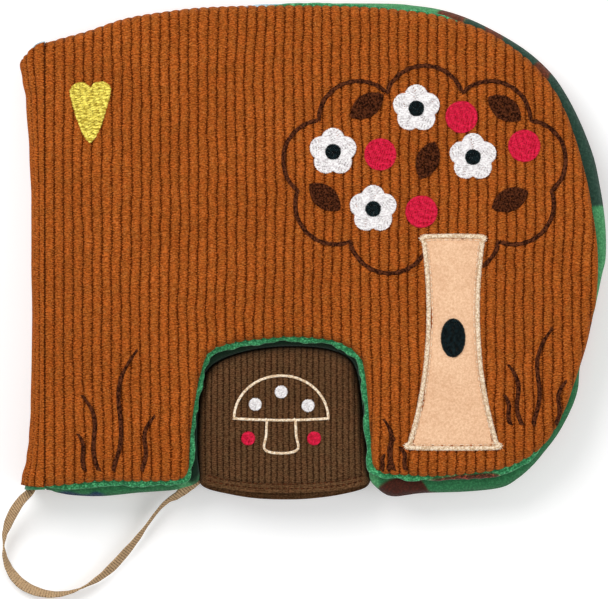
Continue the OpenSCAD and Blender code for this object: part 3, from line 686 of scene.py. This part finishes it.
# Spine: the corduroy goes on round the back, waisted along its middle
spine = {
    "ribs": 11, "columnsPerRib": 7, "ribDepth": 1.0, "half": 13.75, "square": 2.5, "wall": 1.6,
    "bulge": [(-84, 9.3), (-80, 8.4), (-73, 6.7), (-66, 5.8), (-56, 5.1), (-39, 4.8), (-6, 4.9),
              (18, 5.1), (35, 5.8), (53, 6.9), (60, 8.2), (66, 9.3), (76, 9.6)],
    "headDrop": 6.6, "head": 72.9, "foot": -82.9, "rows": 150}
spineStrip = {"x": -94.5, "foot": -80, "head": 71, "hollow": 1.1, "half": 12.6, "wall": 0.8}
facing = {"in": 1.9, "footOut": 0.9, "headOut": 0.5, "flatter": 0.84, "wall": 0.7}


def bulgeAt(y):
    steps = spine["bulge"]
    for (y0, b0), (y1, b1) in zip(steps, steps[1:]):
        if y <= y1:
            return mix(b0, b1, smoothStep(y0, y1, y))
    return steps[-1][1]


def spinePoint(turn, bulge):
    c, s = max(math.cos(turn), 0), math.sin(turn)
    power = 2 / spine["square"]
    return Vector((hingeX - bulge * c ** power, 0,
                   bookTop / 2 + math.copysign(spine["half"] * abs(s) ** power, s)))


def thicken(bm, wall, facingX):
    # the outer side looks to +X or -X, and the wall grows behind it
    bmesh.ops.recalc_face_normals(bm, faces=bm.faces[:])
    if sum(f.normal.x for f in bm.faces) * facingX < 0:
        bmesh.ops.reverse_faces(bm, faces=bm.faces[:])
    bmesh.ops.solidify(bm, geom=bm.faces[:], thickness=wall)


def evenTurns(count, bulge=6.5, fine=400):
    # angles round the spine that cut its arc into even lengths
    arc = [spinePoint(math.pi / 2 - math.pi * i / fine, bulge) for i in range(fine + 1)]
    lengths = [0.0]
    for a, b in zip(arc, arc[1:]):
        lengths.append(lengths[-1] + (b - a).length)
    turns = []
    for i in range(count + 1):
        goal = lengths[-1] * i / count
        k = min(sum(1 for at in lengths if at < goal), fine)
        turns.append(math.pi / 2 - math.pi * k / fine)
    turns[0], turns[-1] = math.pi / 2, -math.pi / 2
    return turns


def buildSpineWrap():
    across = spine["ribs"] * spine["columnsPerRib"]
    turns = evenTurns(across)
    bm = bmesh.new()
    bmesh.ops.create_grid(bm, x_segments=across, y_segments=spine["rows"], size=1)
    weave = bm.loops.layers.uv.new("weave")
    for v in bm.verts:
        i, share = round((v.co.x + 1) / 2 * across), (v.co.y + 1) / 2
        turn, u = turns[i], i / spine["columnsPerRib"]
        round_ = abs(math.cos(turn)) ** 1.4
        y = mix(spine["foot"] + 0.8 * round_, spine["head"] - spine["headDrop"] * round_, share)
        near = min(y - spine["foot"], spine["head"] - spine["headDrop"] * round_ - y)
        bulge = bulgeAt(y) * mix(0.95, 1, math.sqrt(1 - (1 - min(max(near / 3, 0), 1)) ** 2))
        p = spinePoint(turn, bulge)
        a, b = spinePoint(turn + 0.03, bulge), spinePoint(turn - 0.03, bulge)
        out = Vector((b.z - a.z, 0, a.x - b.x)).normalized()
        rimward = smoothStep(0, 0.8, min(u, spine["ribs"] - u))
        rib = ribShape(u, spine["ribDepth"] * mix(0.3, 1, rimward))
        rib += 0.25 * wobble(y, i / 6, 16, 31)
        p += out * rib
        markWeave(v, weave, (u, y))
        v.co = (min(p.x, hingeX), y, p.z)
    thicken(bm, spine["wall"], -1)
    piece = finishPiece(bm, "spine_corduroy_wrap", brownCord)
    assign(piece, "book", "corduroy", "spine_corduroy", "spine_padding")


def buildSpineLining():
    bm = bmesh.new()
    bmesh.ops.create_grid(bm, x_segments=16, y_segments=60, size=1)
    for v in bm.verts:
        share, y = v.co.x, mix(spineStrip["foot"], spineStrip["head"], (v.co.y + 1) / 2)
        x = spineStrip["x"] - spineStrip["hollow"] * (1 - share * share)
        v.co = (x + 0.1 * wobble(y, share * 9, 9, 4), y, bookTop / 2 + share * spineStrip["half"])
    thicken(bm, spineStrip["wall"], 1)
    lining = finishPiece(bm, "spine_lining_strip", spineLiningCloth)
    assign(lining, "book", "green_lining", "spine_lining")


def buildFacing():
    # inside the wrap: green below, pale blue above, a sliver past the corduroy at each end
    bm = bmesh.new()
    bmesh.ops.create_grid(bm, x_segments=40, y_segments=60, size=1)
    for v in bm.verts:
        turn, share = mix(math.pi / 2, -math.pi / 2, (v.co.x + 1) / 2), (v.co.y + 1) / 2
        round_ = abs(math.cos(turn)) ** 1.4
        head = spine["head"] + facing["headOut"] - (spine["headDrop"] - 0.6) * round_
        y = mix(spine["foot"] - facing["footOut"], head, share)
        p = spinePoint(turn, bulgeAt(y) - facing["in"])
        middle = bookTop / 2
        v.co = (p.x, y + 0.2 * wobble(turn * 4, y, 2, 9), middle + (p.z - middle) * facing["flatter"])
    thicken(bm, facing["wall"], -1)
    piece = finishPiece(bm, "spine_inner_facing", facingPrint)
    assign(piece, "book", "green_lining")


buildSpineWrap()
buildSpineLining()
buildFacing()
print("spine made")


# Finger puppet: two fine corduroy halves, seamed round the arch and open at the hem
puppet = {
    "pitch": 2.1, "columnsPerRib": 6, "ribDepth": 0.55, "seam": 11.1, "rise": 10.6, "roll": 7.5,
    "full": 2.9, "wall": 1.2, "hem": (2.9, 3.5), "left": -42, "wide": 64,
    "rows": (-88.5, -32, 0.5, 0.8, [(-88.5, -78), (-44, -32)])}
# the two stitch rows of the hem: place and depth
stitchRows = [(1.6, 0.6), (3.2, 1.0)]
# the back half is a little longer than the front
hemLines = {
    "front": [
        (17.5, -82.3), (10, -83.9), (1, -84.8), (-10, -85.1), (-21, -84.8), (-30, -83.7), (-37.5, -82)],
    "back": [
        (18, -83.6), (10, -85.8), (1, -87.1), (-8, -87.6), (-20, -87.2), (-30, -85.6), (-37.5, -83.6)]}


def puppetLevel(level, hem, x, y):
    depth = edgeDepth(level, x, y)
    t = min(max(depth / puppet["roll"], 0), 1)
    rise = (1 - (1 - t) ** puppet["full"]) ** (1 / puppet["full"])
    fromHem = hem["tree"].find((x, y, 0))[2]
    height = puppet["rise"] * rise - 0.5 * (1 - smoothStep(0, 20, depth))
    for away, deep in stitchRows:
        height -= deep * math.exp(-((fromHem - away) / 0.5) ** 2)
    height += 0.35 * (wobble(x, y, 15, 60) - 0.6)
    return max(height, 0.0) * smoothStep(-0.5, 0.4, depth), fromHem


def buildPuppetHalf(side):
    # the height comes from an outline that runs on past the hem, so the hem stays open
    level = planOutline(puppetArch + [(20.2, -95), (20, -110), (-40, -110), (-40.1, -95)])
    sheet = planOutline(puppetArch + hemLines[side])
    hem = planOutline(hemLines[side] + [(-60, -82), (-60, -120), (40, -120), (40, -82)])
    count = puppet["columnsPerRib"]
    ribs = math.ceil(puppet["wide"] / puppet["pitch"])
    columns = [(puppet["left"] + i * puppet["pitch"] / count, i / count) for i in range(ribs * count + 1)]

    def bend(x, y):
        return Vector((x + 0.25 * wobble(x, y, 18, 70), y, 0))

    bm = clothGrid(columns, unevenRows(*puppet["rows"]), sheet, bend)
    weave = bm.loops.layers.uv["weave"]
    for v in bm.verts:
        height, fromHem = puppetLevel(level, hem, v.co.x, v.co.y)
        u = v.link_loops[0][weave].uv.x
        depth = edgeDepth(level, v.co.x, v.co.y)
        inHem = 1 - smoothStep(*puppet["hem"], fromHem)
        v.co.z = height + ribShape(u, puppet["ribDepth"] * smoothStep(0, 2, depth) * (1 - 0.8 * inHem))
        v.co.z = max(v.co.z, 0.05)
        if inHem > 0.5:
            # the hem is pressed flat: no grooves in its weave
            for loop in v.link_loops:
                loop[weave].uv.x = math.floor(u) + 0.5
    bmesh.ops.solidify(bm, geom=bm.faces[:], thickness=puppet["wall"])
    if side == "back":
        bmesh.ops.scale(bm, verts=bm.verts[:], vec=(1, 1, -1))
    bmesh.ops.translate(bm, verts=bm.verts[:], vec=(0, 0, puppet["seam"]))
    half = finishPiece(bm, "puppet_" + side + "_half", darkCord)
    assign(half, "book", "fine_corduroy", "puppet_" + side)
    return level, hem


puppetLevels = buildPuppetHalf("front")
buildPuppetHalf("back")
print("puppet made")


# Embroidery: every stitch is a short strand that dips into the cloth at both ends
stitching = {"strand": 0.18, "pitch": 0.31, "longest": 2.6, "roundness": 1}
# share of the length, height over the cloth, share of the thickness
strandShape = [(0, -0.35, 0.55), (0.12, 0.05, 0.9), (0.5, 0.16, 1), (0.88, 0.05, 0.9), (1, -0.35, 0.55)]
draw = random.Random(11)


def coverSpot(x, y, lift):
    return coverLevel(frontLevel, x, y)[0] - 0.25 + lift


def puppetSpot(x, y, lift):
    return puppet["seam"] + puppetLevel(*puppetLevels, x, y)[0] - 0.1 + lift


def strand(start, end, spot, lift, thick):
    # a strand between two places in plan
    made = []
    for t, up, wide in strandShape:
        x, y = mix(start[0], end[0], t), mix(start[1], end[1], t)
        made.append((x, y, spot(x, y, lift) + up, thick * wide))
    return made


def satinFill(shape, turn, spot, lift, longest=stitching["longest"], ragged=0.14):
    # rows of strands across a closed shape, long rows broken like fill stitching
    thick, pitch = stitching["strand"], stitching["pitch"]
    c, s = math.cos(turn), math.sin(turn)
    flat = [(x * c + y * s, -x * s + y * c) for x, y in shape]
    low, high = min(q for p, q in flat), max(q for p, q in flat)
    rows, made = max(round((high - low) / pitch), 2), []
    for k in range(rows):
        at = low + (k + 0.5) * (high - low) / rows
        cuts = sorted(p0 + (at - q0) / (q1 - q0) * (p1 - p0)
                      for (p0, q0), (p1, q1) in zip(flat, flat[1:] + flat[:1])
                      if (q0 <= at) != (q1 <= at))
        for a, b in zip(cuts[::2], cuts[1::2]):
            a, b = a - draw.uniform(0, ragged), b + draw.uniform(0, ragged)
            stops = [a]
            if b - a > longest * 1.35:
                x = a + longest * (0.35 + 0.6 * ((k * 0.37) % 1))
                while x < b - longest * 0.3:
                    stops.append(x)
                    x += longest * draw.uniform(0.92, 1.08)
            stops.append(b)
            for p, q in zip(stops, stops[1:]):
                start, end = (p * c - at * s, p * s + at * c), (q * c - at * s, q * s + at * c)
                made.append(strand(start, end, spot, lift, thick))
    return made


def satinLine(points, width, spot, slant, pitch, thick=0.2, lift=0.2, closed=False, taper=0.0):
    # short slanted strands side by side along a line
    line = smoothLine([(x, y, 0) for x, y in points], pitch, closed)
    n, made = len(line), []
    for i, p in enumerate(line):
        before = line[i - 1] if closed or i else p
        after = line[(i + 1) % n] if closed or i < n - 1 else p
        way = (after - before).normalized()
        if way.length < 0.5:
            continue
        half = width / 2 * (1 - taper * smoothStep(0.6, 1, i / n)) * draw.uniform(0.9, 1.08)
        out = Vector((-way.y, way.x, 0)) * half
        lean = way * half * slant
        a, b = p - out - lean, p + out + lean
        made.append(strand((a.x, a.y), (b.x, b.y), spot, lift, thick))
    return made


def runningLine(points, length, gap, spot, lift, thick, closed=False):
    # single stitches one after the other, with a gap of a quarter of the pitch
    line = smoothLine([(x, y, 0) for x, y in points], (length + gap) / 4, closed)
    made = []
    for i in range(0, len(line) - 3, 4):
        made.append(strand(line[i].xy, line[i + 3].xy, spot, lift, thick))
    return made


def sewOn(name, strands, colour, body, *nodes):
    # the strands as round threads, turned into one mesh
    curve = bpy.data.curves.new(name + "_strands", "CURVE")
    curve.dimensions, curve.bevel_depth, curve.bevel_resolution = "3D", mm, stitching["roundness"]
    curve.use_fill_caps = True
    for points in strands:
        spline = curve.splines.new("POLY")
        spline.points.add(len(points) - 1)
        for spot, (x, y, z, wide) in zip(spline.points, points):
            spot.co, spot.radius = (x * mm, y * mm, z * mm, 1), wide
    holder = bpy.data.objects.new(name + "_strands", curve)
    scene.collection.objects.link(holder)
    bpy.context.view_layer.update()
    mesh = bpy.data.meshes.new_from_object(holder.evaluated_get(bpy.context.evaluated_depsgraph_get()))
    bpy.data.objects.remove(holder)
    mesh.name = name
    mesh.materials.clear()
    assign(showMesh(mesh, name, threads[colour]), body, colour + "_thread", *nodes)


def ring(cx, cy, rx, ry=None, count=28):
    turns = [2 * math.pi * i / count for i in range(count)]
    return [(cx + rx * math.cos(a), cy + (ry or rx) * math.sin(a)) for a in turns]


tree = {
    "x": 39.05, "y": 27.65, "long": 36, "tall": 23, "lobe": 14, "lobes": 9, "line": 1.5,
    "blossoms": [(-0.89, 0.3), (-0.08, 0.96), (0.47, 0.22), (-0.5, -0.57)],
    "berries": [(-0.43, 0.26), (0.36, 0.83), (0.97, 0.39), (-0.03, -0.61)],
    "leaves": [
        (-0.56, 1, 35), (0.78, 0.96, -35), (0.03, 0.17, 70), (-0.97, -0.39, -40), (0.83, -0.43, 25)],
    "petal": 4.1, "petalOut": 4.25, "core": 2.7, "berry": 5.6, "leafLong": 14, "leafWide": 8,
    "trunkX": 49.05, "trunkFoot": -69.85, "trunkTall": 75.5, "border": 1.6,
    "knot": (49.05, -30.6, 4.25, 6.8)}


def crownLine():
    # the outer edge of a ring of lobes, found by looking outwards from the middle
    line = []
    for i in range(360):
        t = 2 * math.pi * i / 360
        way = Vector((math.cos(t), math.sin(t)))
        far = 0
        for k in range(tree["lobes"]):
            a = math.pi / 2 + 2 * math.pi * k / tree["lobes"]
            hub = Vector((tree["long"] * math.cos(a), tree["tall"] * math.sin(a)))
            along, off = hub.dot(way), hub.cross(way)
            if abs(off) < tree["lobe"] and along > 0:
                far = max(far, along + math.sqrt(tree["lobe"] ** 2 - off ** 2))
        line.append((tree["x"] + way.x * far, tree["y"] + way.y * far))
    return line


def trunkHalf(u):
    # half width from foot to head, waisted above the middle
    return 8.5 + 8 * (1 - u) ** 3 + 2.83 * u ** 4


def trunkLine(inset):
    steps = evenRow(0, 1, 40)
    foot, tall = tree["trunkFoot"], tree["trunkTall"]
    right = []
    for u in steps:
        corner = 1.1 * (1 - smoothStep(0, 0.035, u)) + 0.8 * smoothStep(0.97, 1, u)
        x = tree["trunkX"] + trunkHalf(u) - inset - corner
        right.append((x, foot + inset + u * (tall - 2 * inset)))
    left = [(2 * tree["trunkX"] - x, y) for x, y in reversed(right)]
    return right + left


def atTree(place):
    return tree["x"] + place[0] * tree["long"], tree["y"] + place[1] * tree["tall"]


def behindTrunk(x, y):
    u = (y - tree["trunkFoot"]) / tree["trunkTall"]
    return u < 1.01 and abs(x - tree["trunkX"]) < trunkHalf(max(u, 0)) + 0.4


crown = satinLine(crownLine(), tree["line"], coverSpot, slant=1.2, pitch=0.4, closed=True)
crown = [s for s in crown if not behindTrunk(s[2][0], s[2][1])]
sewOn("crown_stitching", crown, "brown", "front_cover", "crown_outline")

for k, place in enumerate(tree["blossoms"]):
    cx, cy = atTree(place)
    petals = []
    for p in range(5):
        a = math.radians(90 + 72 * p)
        px, py = cx + tree["petalOut"] * math.cos(a), cy + tree["petalOut"] * math.sin(a)
        petals += satinFill(ring(px, py, tree["petal"]), a + math.pi / 2, coverSpot,
                            lift=0.3 + 0.04 * p)
    sewOn(f"blossom_{k + 1}_petals", petals, "white", "front_cover", f"blossom_{k + 1}")
    core = satinFill(ring(cx, cy, tree["core"]), 0.6, coverSpot, lift=0.95)
    sewOn(f"blossom_{k + 1}_core", core, "black", "front_cover", f"blossom_core_{k + 1}")
for k, place in enumerate(tree["berries"]):
    cx, cy = atTree(place)
    rows = satinFill(ring(cx, cy, tree["berry"]), 0.9, coverSpot, lift=0.4)
    sewOn(f"berry_{k + 1}_fill", rows, "red", "front_cover", f"berry_{k + 1}")
for k, (px, py, turn) in enumerate(tree["leaves"]):
    cx, cy = atTree((px, py))
    t = math.radians(turn)
    half, wide = tree["leafLong"] / 2, tree["leafWide"] / 2
    edge = [(half * s, wide * (1 - s * s) ** 0.8) for s in evenRow(-1, 1, 16)]
    edge += [(x, -y) for x, y in reversed(edge[1:-1])]
    shape = [(cx + x * math.cos(t) - y * math.sin(t), cy + x * math.sin(t) + y * math.cos(t))
             for x, y in edge]
    rows = satinFill(shape, t + 1.1, coverSpot, lift=0.35)
    sewOn(f"tree_leaf_{k + 1}_fill", rows, "brown", "front_cover", f"tree_leaf_{k + 1}")

# Grass tufts: blades by height, lean and place in the tuft; tufts by place, side and size
grass = {
    "tall": 42, "spread": 21, "line": 1.6,
    "blades": [(1, 1, 0), (0.62, -1.1, -0.27), (0.45, 1.2, 0.53), (0.3, -0.9, -0.53)],
    "tufts": [(-69.95, -76.85, 1, 1.0), (77.05, -60.85, 1, 0.8), (28.35, -76.85, -1, 0.42)]}
for k, (fx, fy, side, size) in enumerate(grass["tufts"]):
    blades = []
    for tallShare, leanShare, offset in grass["blades"]:
        tall = grass["tall"] * size * tallShare
        lean = side * leanShare * tall / 5
        points = []
        foot = fx + offset * grass["spread"] * size * 0.9
        for u in evenRow(0, 1, 12):
            points.append((foot + lean * (u * u + 0.25 * math.sin(2 * math.pi * u)), fy + tall * u))
        blades += satinLine(points, grass["line"], coverSpot, slant=0.7, pitch=0.34, taper=0.45)
    sewOn(f"grass_tuft_{k + 1}_blades", blades, "brown", "front_cover", f"grass_tuft_{k + 1}")

# Heart: from its tip out to two round lobes, one side mirrored
heart = {"x": -77.95, "y": 37.65, "wide": 14.4, "tall": 21.4, "lobe": 0.257, "tilt": 0.05}
lobe, halfWide = heart["wide"] * heart["lobe"], heart["wide"] / 2
shoulder = heart["tall"] - lobe
side = [(-halfWide * (1 - s) ** 0.62, shoulder * (1 - s)) for s in reversed(evenRow(0.06, 1, 12))]
side += [(lobe - halfWide + lobe * math.cos(a), shoulder + lobe * math.sin(a))
         for a in evenRow(math.pi, 0, 18)[1:] if lobe - halfWide + lobe * math.cos(a) <= 0]
shape = [(heart["x"] + x, heart["y"] + y + x * heart["tilt"])
         for x, y in side + [(-x, y) for x, y in reversed(side)]]
sewOn("heart_fill", satinFill(shape, 0.12, coverSpot, lift=0.4, longest=2.2, ragged=0.35),
      "gold", "front_cover", "heart")

# Trunk: a velour patch on the corduroy, with a satin border all round
patchPlan = planOutline(trunkLine(0.4))
bm = clothGrid([(x, x) for x in evenRow(31, 67, 60)], evenRow(-71, 7, 110), patchPlan)
for v in bm.verts:
    puff = 0.45 * smoothStep(0.8, 3.5, edgeDepth(patchPlan, v.co.x, v.co.y))
    v.co.z = coverSpot(v.co.x, v.co.y, 0.15) + puff + 0.1 * wobble(v.co.x, v.co.y, 7, 2)
bmesh.ops.solidify(bm, geom=bm.faces[:], thickness=0.5)
trunk = finishPiece(bm, "trunk_velour_patch", velour)
assign(trunk, "front_cover", "velour", "trunk_patch")
border = satinLine(trunkLine(0.8), tree["border"], coverSpot, slant=0.15, pitch=0.36,
                   thick=stitching["strand"], lift=0.55, closed=True)
border += runningLine(trunkLine(2.1), 1.8, 0.3, coverSpot, 0.56, 0.12, closed=True)
sewOn("trunk_satin_border", border, "cream", "front_cover", "trunk_border")
knot = satinFill(ring(*tree["knot"]), 0.2, coverSpot, lift=0.95)
sewOn("knot_hole_fill", knot, "black", "front_cover", "knot_hole")
print("cover embroidery made")

# Toadstool on the puppet
stool = {
    "x": -11.15, "capY": -58.85, "wide": 33, "tall": 15, "stalk": 10, "line": 0.8,
    "spots": [(-0.55, 0.33), (0, 0.62), (0.57, 0.3)], "spot": 2.2,
    "dot": 2.4, "dotOut": 0.7, "dotDown": 7.0}
midX, capY, halfCap, halfStalk = stool["x"], stool["capY"], stool["wide"] / 2, stool["stalk"] / 2
cap = [(midX + halfCap * math.cos(a), capY + stool["tall"] * math.sin(a))
       for a in evenRow(0, math.pi, 24)]
cap += [(midX + halfCap * t, capY - 0.6 * (1 - t * t)) for t in evenRow(-0.97, 0.97, 12)]
left = [(-halfStalk, -0.4), (-halfStalk - 0.3, -6), (-halfStalk - 0.9, -10.4), (-3, -12)]
stalk = [(midX + x, capY + y) for x, y in left + [(-x, y) for x, y in reversed(left)]]
lines = satinLine(cap, stool["line"], puppetSpot, slant=1.4, pitch=0.36, closed=True)
lines += satinLine(stalk, stool["line"], puppetSpot, slant=1.4, pitch=0.36)
sewOn("toadstool_stitching", lines, "cream", "book", "toadstool_outline")
for k, (px, py) in enumerate(stool["spots"]):
    spotShape = ring(midX + px * halfCap, capY + py * stool["tall"], stool["spot"])
    sewOn(f"toadstool_spot_{k + 1}_fill", satinFill(spotShape, 0.7, puppetSpot, lift=0.3),
          "white", "book", f"toadstool_spot_{k + 1}")
for k, side in enumerate((-1, 1)):
    dot = ring(midX + side * stool["dotOut"] * halfCap, capY - stool["dotDown"], stool["dot"])
    sewOn(f"red_dot_{k + 1}_fill", satinFill(dot, 0.7, puppetSpot, lift=0.3),
          "red", "book", f"red_dot_{k + 1}")
hemStitches = []
for inset, deep in stitchRows:
    row = [(x, y + inset) for x, y in hemLines["front"]]
    hemStitches += runningLine(row, 1.7, 0.35, puppetSpot, 0.1, 0.2)
sewOn("puppet_hem_stitches", hemStitches, "brown", "book")
print("puppet embroidery made")


# Floor, world and lamps
studio = {
    "floor": (0.88, 0.88, 0.88, 1), "half": 1500, "drop": 0.05, "glow": 0.24, "sky": 0.55,
    "lamps": [("key_lamp", (-0.45, 0.5, 0.85), 0.7, 7.0), ("fill_lamp", (0.7, -0.25, 0.8), 0.8, 3.0)]}


def seenDirectly(tree):
    # 1 for what the camera sees, also in glass or by a reflection, and 0 for the light on the book
    path = addNode(tree, "ShaderNodeLightPath")
    mirrored = sums("MAXIMUM", path.outputs["Is Glossy Ray"], path.outputs["Is Transmission Ray"])
    return sums("MAXIMUM", path.outputs["Is Camera Ray"], mirrored)


def buildFloor():
    bm = bmesh.new()
    bmesh.ops.create_grid(bm, x_segments=1, y_segments=1, size=studio["half"])
    bmesh.ops.translate(bm, verts=bm.verts[:], vec=(0, 0, -studio["drop"]))
    ground = bpy.data.materials.new("pale_floor")
    ground.use_nodes = True
    tree = ground.node_tree
    shader = tree.nodes["Principled BSDF"]
    shader.inputs["Base Color"].default_value = studio["floor"]
    shader.inputs["Roughness"].default_value = 1.0
    shader.inputs["Specular IOR Level"].default_value = 0.0
    shader.inputs["Emission Color"].default_value = (1, 1, 1, 1)
    glow = sums("MULTIPLY", seenDirectly(tree), studio["glow"])
    tree.links.new(glow, shader.inputs["Emission Strength"])
    finishPiece(bm, "floor", ground)


def lightScene():
    world = bpy.data.worlds.new("soft_sky")
    scene.world = world
    world.use_nodes = True
    tree = world.node_tree
    sky = tree.nodes["Background"]
    sky.inputs["Color"].default_value = (1, 1, 1, 1)
    # white where it is seen, dimmer as a light
    lift = sums("MULTIPLY", seenDirectly(tree), 1 - studio["sky"])
    tree.links.new(sums("ADD", studio["sky"], lift), sky.inputs["Strength"])
    for name, place, size, power in studio["lamps"]:
        lamp = bpy.data.lights.new(name, "AREA")
        lamp.shape, lamp.size, lamp.energy = "DISK", size, power
        holder = bpy.data.objects.new(name, lamp)
        holder.location = place
        holder.rotation_euler = (-Vector(place)).to_track_quat("-Z", "Y").to_euler()
        scene.collection.objects.link(holder)


buildFloor()
lightScene()
print("floor and lamps made")
